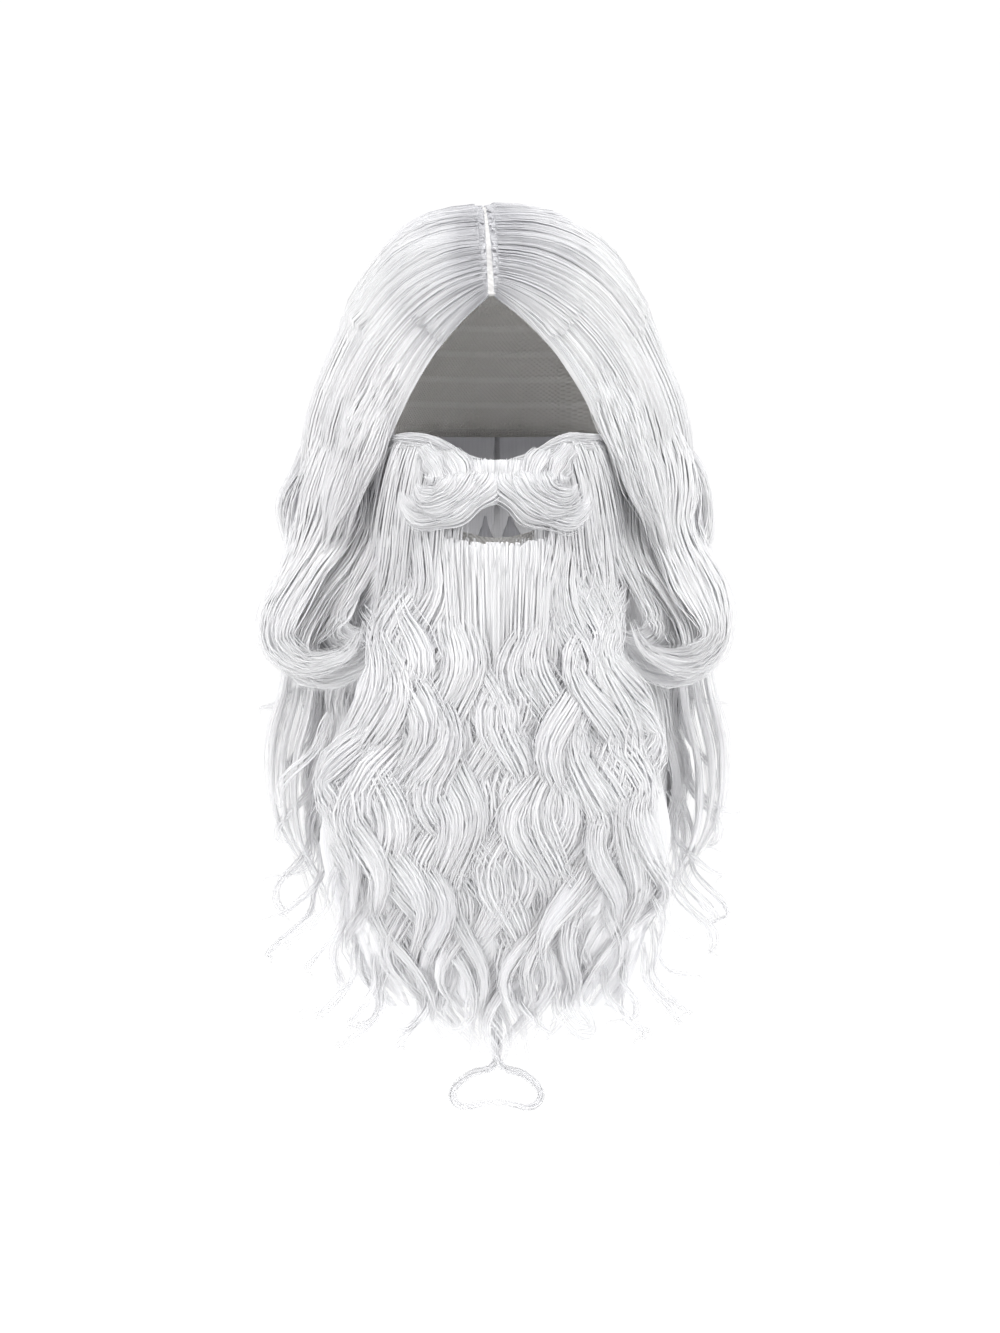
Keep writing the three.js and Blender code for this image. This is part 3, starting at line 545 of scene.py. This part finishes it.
def join_crown(paths, outward, top, place):
    """Lets strands start at the parting, spread over a width of the combing."""
    side, row, spread, start, until, lift = top
    share = np.linspace(start, until, 7)[None]
    rows = np.clip(row + side * spread * place, 0, 7)[:, None] + 0 * share
    rise = lift * dice.uniform(0.3, 1, len(paths))[:, None] + 0 * share
    crown, _ = crown_point(side, rows, share + 0 * rows, rise)
    keep = np.linspace(0, paths.shape[1] - 1, 20).astype(int)
    joined = bend_through(np.concatenate([crown, paths[:, keep]], 1), paths.shape[1] + 8)
    return joined, from_head(joined - MIDDLE * 0.6)


def from_head(points):
    down = np.clip(points[..., 2] + EAR_DOWN, 0, None)
    return unit(vector(points[..., 0], points[..., 1], down))


def from_face(points):
    return unit(vector(points[..., 0] / BEARD_WIDE, -1 + 0 * points[..., 0], 0 * points[..., 2]))


# %% [markdown]
# The crown is combed smooth. Under its strands lies a closed sheet of the same form, so that
# nothing of the cap shows through, and the strands start at the parting and follow the combing
# down to the cheeks. Their ends gather into points of uneven length.

# %% Crown of one side


def crown_bodies(side):
    row = np.linspace(0, 7, 64)[:, None]
    share = np.linspace(0, 1, 28)[None]
    ripple = 1.2 * smooth(share, 0.1, 0.7) * np.sin(row * 5.2 + 1.5 * np.sin(3 * share + row))
    ragged = -0.1 + 0 * share * row
    outer, way = crown_point(side, row + 0 * share, share + 0 * row, ripple - 1.6, ragged)
    inner = outer - way * (3.4 * (1 - 0.7 * smooth(share, 0.8, 1)))[..., None]
    bodies = [sheet_body(outer, inner)]
    for count, half, high in ((int(330 * FEW), 1.25, 0.8), (int(200 * FEW), 0.24, 1.9)):
        row = (7 * (np.arange(count) + dice.random(count)) / count)[:, None]
        end = dice.uniform(0.86, 1.08, count)[:, None]
        start = dice.uniform(0, 0.03, count)[:, None]
        along = np.linspace(0, 1, 18)[None]
        share = start + (end - start) * along
        sway = 0.04 * smooth(share, 0.3, 0.9) * np.sin(9 * share + 1.8 * row)
        gather = (np.round(row * 2.2) / 2.2 - row) * 0.6 * smooth(share, 0.55, 1.0)
        lift = 1.2 * smooth(share, 0.1, 0.7) * np.sin(row * 5.2 + 1.5 * np.sin(3 * share + row))
        lift = lift + high * dice.uniform(-0.2, 1, count)[:, None] * smooth(share, -0.05, 0.2)
        paths, way = crown_point(side, row + sway + gather, share, lift)
        taper = half * (1 - 0.85 * along**4) * dice.uniform(0.7, 1.2, count)[:, None]
        bodies.append(tubes(paths, way, taper, taper * (0.35 if half > 1 else 1), 3, dice.random(count), pi / 2))
    return bodies


# %% [markdown]
# Two locks fall from the crown beside the face. The inner one ends in a bright point on the
# cheek. The outer one swings out over the shoulder and rolls back in, which makes the big curl
# that gives the set its outline. Their strands start at the parting, spread over the crown.

# %% Locks beside the face
FRONT_LOCK = [
    (0.33, -0.7, 0.135),
    (0.47, -0.72, 0.205),
    (0.58, -0.72, 0.267),
    (0.67, -0.71, 0.337),
    (0.73, -0.69, 0.39),
    (0.77, -0.66, 0.44),
]
BIG_CURL = [
    (0.72, -0.42, 0.22),
    (0.83, -0.46, 0.33),
    (0.87, -0.5, 0.41),
    (0.99, -0.56, 0.475),
    (1.09, -0.6, 0.53),
    (1.08, -0.63, 0.57),
    (0.93, -0.66, 0.592),
    (0.74, -0.68, 0.575),
    (0.67, -0.69, 0.535),
]
CURL_WIDTH = [1.0, 1.15, 1.2, 1.1, 0.95, 0.8, 0.65, 0.5, 0.35]


def wig_place(side, table):
    rows = np.array(table)
    return vector(side * rows[:, 0] * HAIR_WIDE / 2, rows[:, 1] * HAIR_BACK, -rows[:, 2] * HAIR_LONG)


UNDER_LOCK = [
    (0.6, -0.5, 0.27),
    (0.63, -0.52, 0.36),
    (0.68, -0.54, 0.44),
    (0.78, -0.56, 0.505),
    (0.84, -0.58, 0.54),
    (0.8, -0.6, 0.565),
    (0.7, -0.62, 0.57),
    (0.6, -0.63, 0.55),
]


def face_locks(side):
    bodies = []
    for aside, wide, far in ((2, 38, 2), (12, 34, 8), (-5, 22, -4)):
        path = curve(wig_place(side, UNDER_LOCK) + np.array([side * aside, far, -aside]), 40)
        bodies += lock(path, from_head(path), wide, 9, 22, 16, 0.15, tip=0.4, root=0.6, cut=0.3, nodes=24)
    for row, spread, aside, wide, down in (
        (0.28, 0.34, 0, 24, 0),
        (0.75, 0.4, 6, 28, -3),
        (1.2, 0.45, 13, 26, -12),
    ):
        path = curve(wig_place(side, FRONT_LOCK) + np.array([side * aside, 1 + aside * 0.5, down]), 34)
        top = (side, row, spread, 0.02, 0.34, 1.6)
        bodies += lock(path, from_head(path), wide, 9, 28, 18, 0.12, tip=0.16, root=0.8, top=top, cut=0.3, nodes=22)
    for row, spread, aside, wide, far in ((1.9, 0.6, 0, 42, 0), (2.5, 0.6, -14, 40, 3), (3.0, 0.6, 3, 30, 9)):
        path = curve(wig_place(side, BIG_CURL) + np.array([side * aside * 0.6, far, aside * 0.5]), 50)
        profile = np.interp(np.linspace(0, 8, 50), range(9), CURL_WIDTH)
        out = unit(from_head(path) + 0.8 * from_face(path))
        top = (side, row, spread, 0.02, 0.55, 1.8)
        bodies += lock(
            path, out, wide, 12, 36, 26, 0.2, tip=0.5, root=0.8, top=top, profile=profile, cut=0.3
        )
    return bodies


for side, word in ((-1, "left"), (1, "right")):
    make_piece(f"crown_{word}", crown_bodies(side), hair_looks, [f"front_hair_{word}"])
    make_piece(f"face_locks_{word}", face_locks(side), hair_looks)

# %% [markdown]
# The long hair goes on from under the crown. Its locks lie side by side in two layers round
# the neck and wave together, and the strands of the outer layer run up over the crown to the
# parting, so that the hair reads as one length. A plain sheet behind them closes the gaps.

# %% Long hair


def hanging_sheet(low, high):
    turn = np.linspace(low, high, 40)[:, None]
    level = np.linspace(0, 1, 32)[None]
    down = 0.28 + level * (0.84 + 0.05 * np.sin(turn / 3.1) - 0.28)
    wave = 2.6 * smooth(level, 0.1, 0.4) * np.sin(tau * 2.7 * level + turn / 28)
    inward = 7.5 + wave + 0 * turn
    outer, _ = hanging_point(turn, down, inward)
    inner, _ = hanging_point(turn, down, inward + 4 * (1 - 0.8 * smooth(level, 0.7, 1)))
    return sheet_body(outer, inner)


def hanging_path(turn, layer, until, swing, waves, phase, steps=40):
    """Centre line of one long lock below the crown."""
    side = 1 if turn > 0 else -1
    level = np.linspace(0.0, 1, steps)
    down = 0.385 + level * (until - 0.385)
    ramp = swing * smooth(level, 0.05, 0.4)
    turns = tau * (waves * level + phase)
    bend = np.degrees(ramp * np.sin(turns) / HAIR_BACK) * side
    out = -0.4 * ramp * np.cos(turns) + layer
    return hanging_point(turn + bend, down, out)


def long_hair(low, high, layers):
    bodies = [hanging_sheet(low, high)]
    for layer, count, wide, coarse in layers:
        for k in range(count):
            turn = low + (high - low) * (k + 0.5 + dice.uniform(-0.2, 0.2)) / count
            side = 1 if turn > 0 else -1
            row = np.interp(abs(turn), COMBING["turn"], COMBING["row"])
            until = 0.93 + 0.05 * np.sin(abs(turn) / 5) - 0.012 * layer + dice.uniform(-0.03, 0.03)
            phase = abs(turn) / 120 + layer * 0.07 + dice.uniform(-0.08, 0.08)
            path, out = hanging_path(turn, layer, until, dice.uniform(6, 12), dice.uniform(2, 2.7), phase)
            top = (side, row, 0.45, 0.03, 0.96, 1.8) if layer < 3 else None
            twist = dice.uniform(-0.2, 0.5)
            size = wide * dice.uniform(0.8, 1.25)
            bodies += lock(path, out, size, 9, coarse, coarse // 2, twist, tip=0.22, root=0.9, top=top, cut=0.3)
    return bodies


PUFF = [
    (0.84, 0.0, 0.26),
    (0.96, 0.02, 0.32),
    (1.05, 0.03, 0.375),
    (1.04, 0.03, 0.42),
    (0.95, 0.02, 0.46),
    (0.87, 0.0, 0.51),
]
OUTER_LOCK = [
    (1.0, -0.1, 0.36),
    (1.05, -0.16, 0.45),
    (1.04, -0.24, 0.53),
    (1.08, -0.3, 0.62),
    (1.15, -0.3, 0.7),
    (1.13, -0.26, 0.79),
    (1.0, -0.2, 0.86),
    (0.92, -0.2, 0.93),
]

for side, word in ((-1, "left"), (1, "right")):
    bodies = long_hair(side * 52, side * 130, ((5, 5, 24, 10), (1, 6, 24, 20)))
    path = curve(wig_place(side, PUFF), 30)
    bodies += lock(path, from_head(path), 28, 16, 26, 22, 0.3, tip=0.4, root=0.4, cut=0.3, nodes=22)
    for aside, wide in ((0, 9), (-6, 9), (-13, 12)):
        path = curve(wig_place(side, OUTER_LOCK) + np.array([side * aside, 4, aside]), 40)
        bodies += lock(path, from_head(path), wide, 7, 7, 12, 0.5, tip=0.2, laid=False, cut=0.4, loose=2)
    make_piece(f"long_hair_{word}", bodies, hair_looks, [f"side_waves_{word}"])
bodies = []
for side in (-1, 1):
    bodies += long_hair(side * 130, side * 181, ((5, 3, 26, 10), (1, 5, 24, 20)))
make_piece("long_hair_back", bodies, hair_looks, ["back_waves"])

# %% [markdown]
# The beard hangs from the lower face in overlapping wavy locks. Three layers cross each other
# a little, so that the eye sees S-shaped highlights between softer furrows, and the ends fan
# out and narrow to a point. Above the mouth and on the cheeks the hair is short.

# %% Beard


def beard_sheet(low, high, start, end, wide, long):
    angle = np.linspace(low, high, wide)[:, None]
    level = np.linspace(0, 1, long)[None]
    down = start + level * (end - start) * (1 - 0.07 * (0.5 + 0.5 * np.sin(angle / 2.1)) * level)
    free = smooth(down, 0.1, 0.3)
    wave = 2.2 * free * np.sin(tau * 3.4 * down - np.abs(angle) / 9) + 1.2 * np.sin(angle / 1.6) * free
    inward = 4.5 * smooth(down, 0.02, 0.12) + wave
    outer, _ = beard_point(down, angle + 0 * level, inward)
    deep = column(BEARD, "down", down, "deep")
    inner, _ = beard_point(down, angle + 0 * level, inward + 0.62 * deep * (1 - 0.7 * smooth(level, 0.8, 1)))
    return sheet_body(outer, inner)


def beard_path(x0, x1, start, end, swing, waves, phase, proud, roll):
    """Centre line of a lock on the beard, its x given as a share of the beard's half width."""
    t = np.linspace(0, 1, 40)
    down = start + (end - start) * t
    half = column(BEARD, "down", down, "half") * BEARD_WIDE / 2
    turns = tau * (waves * t + phase)
    ramp = swing * smooth(t, 0, 0.3) * smooth(down, 0.08, 0.26)
    side = 1 if x0 + x1 >= 0 else -1
    share = (x0 + (x1 - x0) * smooth(t, 0.1, 0.9)) + side * ramp * np.sin(turns) / half
    angle = np.degrees(np.arcsin(np.clip(share, -0.985, 0.985)))
    inward = 3.0 - proud - 0.3 * ramp * np.cos(turns + roll)
    return beard_point(down, angle, inward)


bodies = [
    beard_sheet(-84, 84, 0.15, 0.95, 52, 40),
    beard_sheet(27, 84, 0.0, 0.17, 20, 10),
    beard_sheet(-84, -27, 0.0, 0.17, 20, 10),
    beard_sheet(-27, 27, 0.005, 0.07, 20, 6),
]
halves = {-1: [], 1: []}
for layer, (count, wide, proud, coarse) in enumerate(((8, 30, -2.0, 14), (8, 26, 0.5, 20), (8, 22, 2.5, 20))):
    for k in range(count):
        share = min((k + (0.5, 0.12, 0.7)[layer]) / count, 0.97)
        start = np.interp(share, [0, 0.3, 0.42, 0.6, 1], [0.15, 0.15, 0.08, 0.02, 0.02])
        start = start + (0, 0.02, 0.09)[layer] * dice.random()
        spread = share * (1.0, 0.95, 0.9)[layer]
        reach = np.interp(spread, [0, 0.5, 0.8, 1], [1.05, 1.01, 0.95, 0.87])
        for side in (-1, 1):
            end = reach - (0.03 + 0.05 * share) * dice.random()
            phase = 1.3 * share + (0, 0.4, 0.75)[layer] + dice.uniform(-0.12, 0.12)
            waves = dice.uniform(2.5, 3.0) * (end - start) / 0.8
            roll = (pi / 2, -pi / 2, pi / 2)[layer] + dice.uniform(-0.5, 0.5)
            path, out = beard_path(
                side * share * 0.95, side * spread, start, end, dice.uniform(8, 13), waves, phase, proud, roll
            )
            twist = dice.uniform(0.0, 0.55) * side
            size = wide * dice.uniform(0.8, 1.2)
            halves[side] += lock(
                path, out, size, 9, coarse, coarse - 8, twist, tip=0.2, root=0.7, cut=0.35, breath=0.24
            )
make_piece("beard_locks_left", bodies + halves[-1], beard_looks, ["beard_hair"])
make_piece("beard_locks_right", halves[1], beard_looks)

# %% [markdown]
# The moustache is two full scrolls. Its hair falls from the whole upper edge, turns outward at
# the lip and rolls up at the ends. Four short wide locks a side lie on each other like that,
# each given by its width and a few places: across, down and forward, in millimetres.

# %% Moustache
ROLLS = [
    (24, [(2, 147, 112), (4, 154, 117), (14, 161, 120), (27, 168, 119), (40, 171, 114), (50, 166, 109), (52, 158, 108)]),
    (19, [(12, 142, 110), (12, 151, 117), (19, 160, 121), (31, 166, 120), (42, 166, 116), (48, 160, 112)]),
    (18, [(26, 137, 108), (22, 148, 115), (25, 157, 120), (34, 162, 119), (42, 160, 116), (45, 154, 113)]),
    (15, [(40, 134, 103), (34, 145, 110), (33, 153, 115), (38, 158, 115), (44, 156, 112)]),
]


def moustache(side):
    bodies = []
    for wide, table in ROLLS:
        path = curve([(side * x, -fore, -down) for x, down, fore in table], 30)
        bodies += lock(
            path, from_face(path), wide, 8, 26, 18, 0.12 * side, tip=0.3, root=0.8, cut=0.25, loose=0.3, nodes=20
        )
    return bodies


for side, word in ((-1, "left"), (1, "right")):
    make_piece(f"moustache_locks_{word}", moustache(side), beard_looks, [f"moustache_{word}"])

# %% [markdown]
# Under the mouth a short straight fringe stands out from the beard, and single thin curls
# stray from its ends: they make the outline light and end in a heart-shaped loop.

# %% Fringe under the mouth and stray curls


def short_hair(x, start, long, rise, half, draw=0.15):
    """Short strands on the beard from places x across it, in millimetres."""
    count = len(x)
    t = np.linspace(0, 1, 10)[None]
    down = start[:, None] + long[:, None] * t
    wide = column(BEARD, "down", down, "half") * BEARD_WIDE / 2
    angle = np.degrees(np.arcsin(np.clip(x[:, None] * (1 - draw * t) / wide, -0.97, 0.97)))
    lift = 1.0 + rise * np.sin(pi * t**0.7) + dice.uniform(-1, 1, count)[:, None]
    paths, out = beard_point(down, angle, -lift)
    taper = half * (1 - 0.85 * t**3) + 0 * down
    return tubes(paths, out, taper, taper * 0.4, 3, dice.random(count), pi / 2)


count = int(280 * FEW)
x = dice.uniform(-29, 29, count)
x[: count // 6] *= 0.15
bodies = [short_hair(x, 0.142 + 0.01 * dice.random(count), dice.uniform(0.07, 0.26, count), 2.6, 0.85)]
count = int(150 * FEW)
for side in (-1, 1):
    x = side * dice.uniform(24, 71, count)
    bodies.append(short_hair(x, 0.006 * dice.random(count), dice.uniform(0.1, 0.26, count), 2.5, 0.8, -0.3))
    x = side * dice.uniform(0, 30, count)
    bodies.append(short_hair(x, 0.003 * dice.random(count), dice.uniform(0.04, 0.06, count), 2.0, 0.8, 0.1))


EDGE = [(9, 0.0), (20, 0.0), (36, 0.002), (50, 0.004), (62, 0.008), (70, 0.03)]
for side in (-1, 1):
    for fall in (0.0, 0.014):
        x, down = (np.array(values) for values in zip(*EDGE))
        angle = np.degrees(np.arcsin(x / (0.685 * BEARD_WIDE / 2)))
        path, _ = beard_point(down + fall, side * angle, -1.5)
        path = curve(path, 26)
        bodies += lock(path, from_face(path), 6, 4, 10, 12, 0.1, tip=0.4, root=0.3, cut=0.5, nodes=16)


def wisp(side, x, z, long, lean, curl, turns, phase, wide):
    """A thin curl that strays from the ends of the hair."""
    t = np.linspace(0, 1, 30)
    radius = 0.75 * curl * smooth(t, 0, 0.5)
    turn = tau * (turns * t**1.2 + phase)
    across = x + lean * long * t + radius * np.sin(turn)
    down = z - long * (t - 0.25 * smooth(t, 0.6, 1.0))
    if x > 94:
        depth = 24
    else:
        level = np.clip((-NOSE_DOWN - z) / BEARD_LONG, 0, 1)
        half = column(BEARD, "down", level, "half") * BEARD_WIDE / 2
        depth = -beard_point(level, np.degrees(np.arcsin(np.clip(x / half, 0, 1))), 5)[0][1]
    path = vector(side * across, -depth - radius * 0.5 * np.sin(turn + 1), down)
    return lock(
        path, from_face(path), wide, wide, 5, 5, 0.3, tip=0.25, root=1, laid=False, core=False, cut=0.35, nodes=22
    )


WISPS = {
    "x": [99, 102, 106, 96, 99, 103, 86, 84, 80, 74, 66, 54, 42, 28, 14, 90, 60, 34, 98, 96],
    "z": [-250, -292, -318, -340, -368, -345, -398, -412, -424, -424, -430, -432, -436, -440, -436, -385, -438, -442, -385, -300],
    "long": [48, 54, 66, 56, 52, 84, 50, 58, 50, 50, 44, 46, 38, 34, 36, 46, 46, 40, 60, 60],
    "lean": [0.5, 0.35, 0.3, 0.4, 0.35, 0.3, 0.35, 0.25, 0.3, -0.1, 0.2, -0.2, 0.15, -0.1, 0.1, 0.5, 0.4, 0.3, 0.5, 0.5],
    "curl": [8, 8, 9, 11, 10, 9, 9, 10, 9, 10, 8, 10, 8, 8, 7, 9, 10, 8, 9, 9],
    "turns": [1.0, 1.2, 1.4, 1.1, 1.1, 1.8, 1.0, 1.2, 1.0, 1.2, 1.0, 1.1, 1.0, 1.0, 1.0, 1.1, 1.1, 1.0, 1.3, 1.2],
}
for k in range(len(WISPS["x"])):
    x, z, long, lean, curl, turns = (WISPS[name][k] for name in WISPS)
    for side in (-1, 1):
        near = dice.uniform(-3, 3)
        bodies += wisp(side, x + near, z + 16 - near, long + 16, lean, curl, turns, dice.uniform(0.2, 0.7), dice.uniform(3, 6))
TIP_LOOP = [(0, -430), (0, -473), (14, -481), (23.5, -489), (24, -496), (18, -500), (7, -498), (-2, -497)]
for side in (-1, 1):
    path = curve([(side * px, -112 - 0.4 * side, pz) for px, pz in TIP_LOOP], 34)
    bodies += lock(
        path, from_face(path), 4.2, 3.6, 8, 7, 0.6, tip=0.9, root=0.8, laid=False, breath=0.05, cut=0.02, loose=0.4
    )
make_piece("fringe_and_strays", bodies, beard_looks)

# %% [markdown]
# The inside shows through the open face. The cap is an off-white net with rows of stitched
# bands that the hair is sewn to, the parting is a smooth pale strip, and the elastic has a fine
# rib across its width. These are fine patterns on sound measured pieces, so only their material
# is made here.

# %% Cap, strip and elastic


def cloth_looks(name, base, mark, scale, band):
    looks = Looks(name)
    coordinates = looks.node("ShaderNodeTexCoord")
    place = looks.node("ShaderNodeSeparateXYZ", {}, [looks.wire(coordinates, 3)])
    x, y, z = (looks.wire(place, i) for i in range(3))
    mesh = (x * scale).maths("SINE", (x + y * 0.7) * scale) * (z * scale).maths("SINE", z * scale)
    rows = (z * band).maths("SINE", z * band)
    ridge = looks.wire(looks.node("ShaderNodeMapRange", {}, {"Value": rows, "From Min": 0.55, "From Max": 0.95}))
    grain = looks.noise(looks.wire(coordinates, 3), 700.0, 2.0)
    looks.surface(
        Base_Color=looks.mix(ridge * 0.7 + mesh * 0.15 + grain * 0.15, (*base, 1), (*mark, 1)),
        Roughness=0.8,
    )
    looks.bump(mesh * 0.5 + ridge + grain * 0.3, 0.0006, 0.7)
    return looks.material


net_looks = cloth_looks("cap_net", (0.78, 0.765, 0.74), (0.87, 0.86, 0.84), 2600.0, 420.0)
strip_looks = cloth_looks("parting_strip", (0.86, 0.85, 0.84), (0.9, 0.89, 0.88), 1500.0, 60.0)
elastic_looks = cloth_looks("woven_elastic", (0.72, 0.71, 0.69), (0.82, 0.81, 0.79), 3500.0, 3800.0)
for node, looks in (
    ("wig_cap", net_looks),
    ("beard_backing", net_looks),
    ("parting_strip", strip_looks),
    ("beard_strap", elastic_looks),
):
    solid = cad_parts[node]
    solid = bpy.data.objects[solid] if isinstance(solid, str) else solid
    solid.data.materials.clear()
    solid.data.materials.append(looks)
print("cloth materials given to the inner pieces")

# %% [markdown]
# The set hangs over a pale floor in an even white studio. Two wide soft lights from the sides
# and one from above draw the gloss on the waves.

# %% Stage and light
bpy.ops.mesh.primitive_cylinder_add(vertices=96, radius=0.9, depth=0.01, location=(0, 0, -0.62))
floor = bpy.context.object
floor.name = "floor"
floor_looks = Looks("pale_floor")
floor_looks.surface(
    Base_Color=(0.93, 0.93, 0.93, 1), Roughness=0.7, Emission_Color=(1, 1, 1, 1), Emission_Strength=0.3
)
floor.data.materials.append(floor_looks.material)

world = bpy.data.worlds.new("studio")
world.use_nodes = True
world.node_tree.nodes["Background"].inputs[0].default_value = (1, 1, 1, 1)
world.node_tree.nodes["Background"].inputs[1].default_value = 0.52
bpy.context.scene.world = world
bpy.context.scene.view_settings.view_transform = "Standard"

bpy.ops.mesh.primitive_plane_add(size=40, location=(0, 9, 0), rotation=(pi / 2, 0, 0))
backdrop = bpy.context.object
backdrop.name = "backdrop"
backdrop_looks = Looks("white_backdrop")
backdrop_looks.surface(Base_Color=(0, 0, 0, 1), Emission_Color=(1, 1, 1, 1), Emission_Strength=1.0)
backdrop.data.materials.append(backdrop_looks.material)


def soft_light(name, place, size, power):
    data = bpy.data.lights.new(name, "AREA")
    data.shape = "RECTANGLE"
    data.size, data.size_y = size
    data.energy = power
    light = bpy.data.objects.new(name, data)
    light.location = place
    light.rotation_euler = (Vector((0, 0, -0.25)) - Vector(place)).to_track_quat("-Z", "Y").to_euler()
    bpy.context.collection.objects.link(light)


soft_light("left_box", (-1.3, -1.0, 0.5), (0.5, 1.0), 11)
soft_light("right_box", (1.3, -1.0, 0.5), (0.5, 1.0), 11)
soft_light("top_box", (0, -0.6, 1.3), (0.9, 0.6), 15)
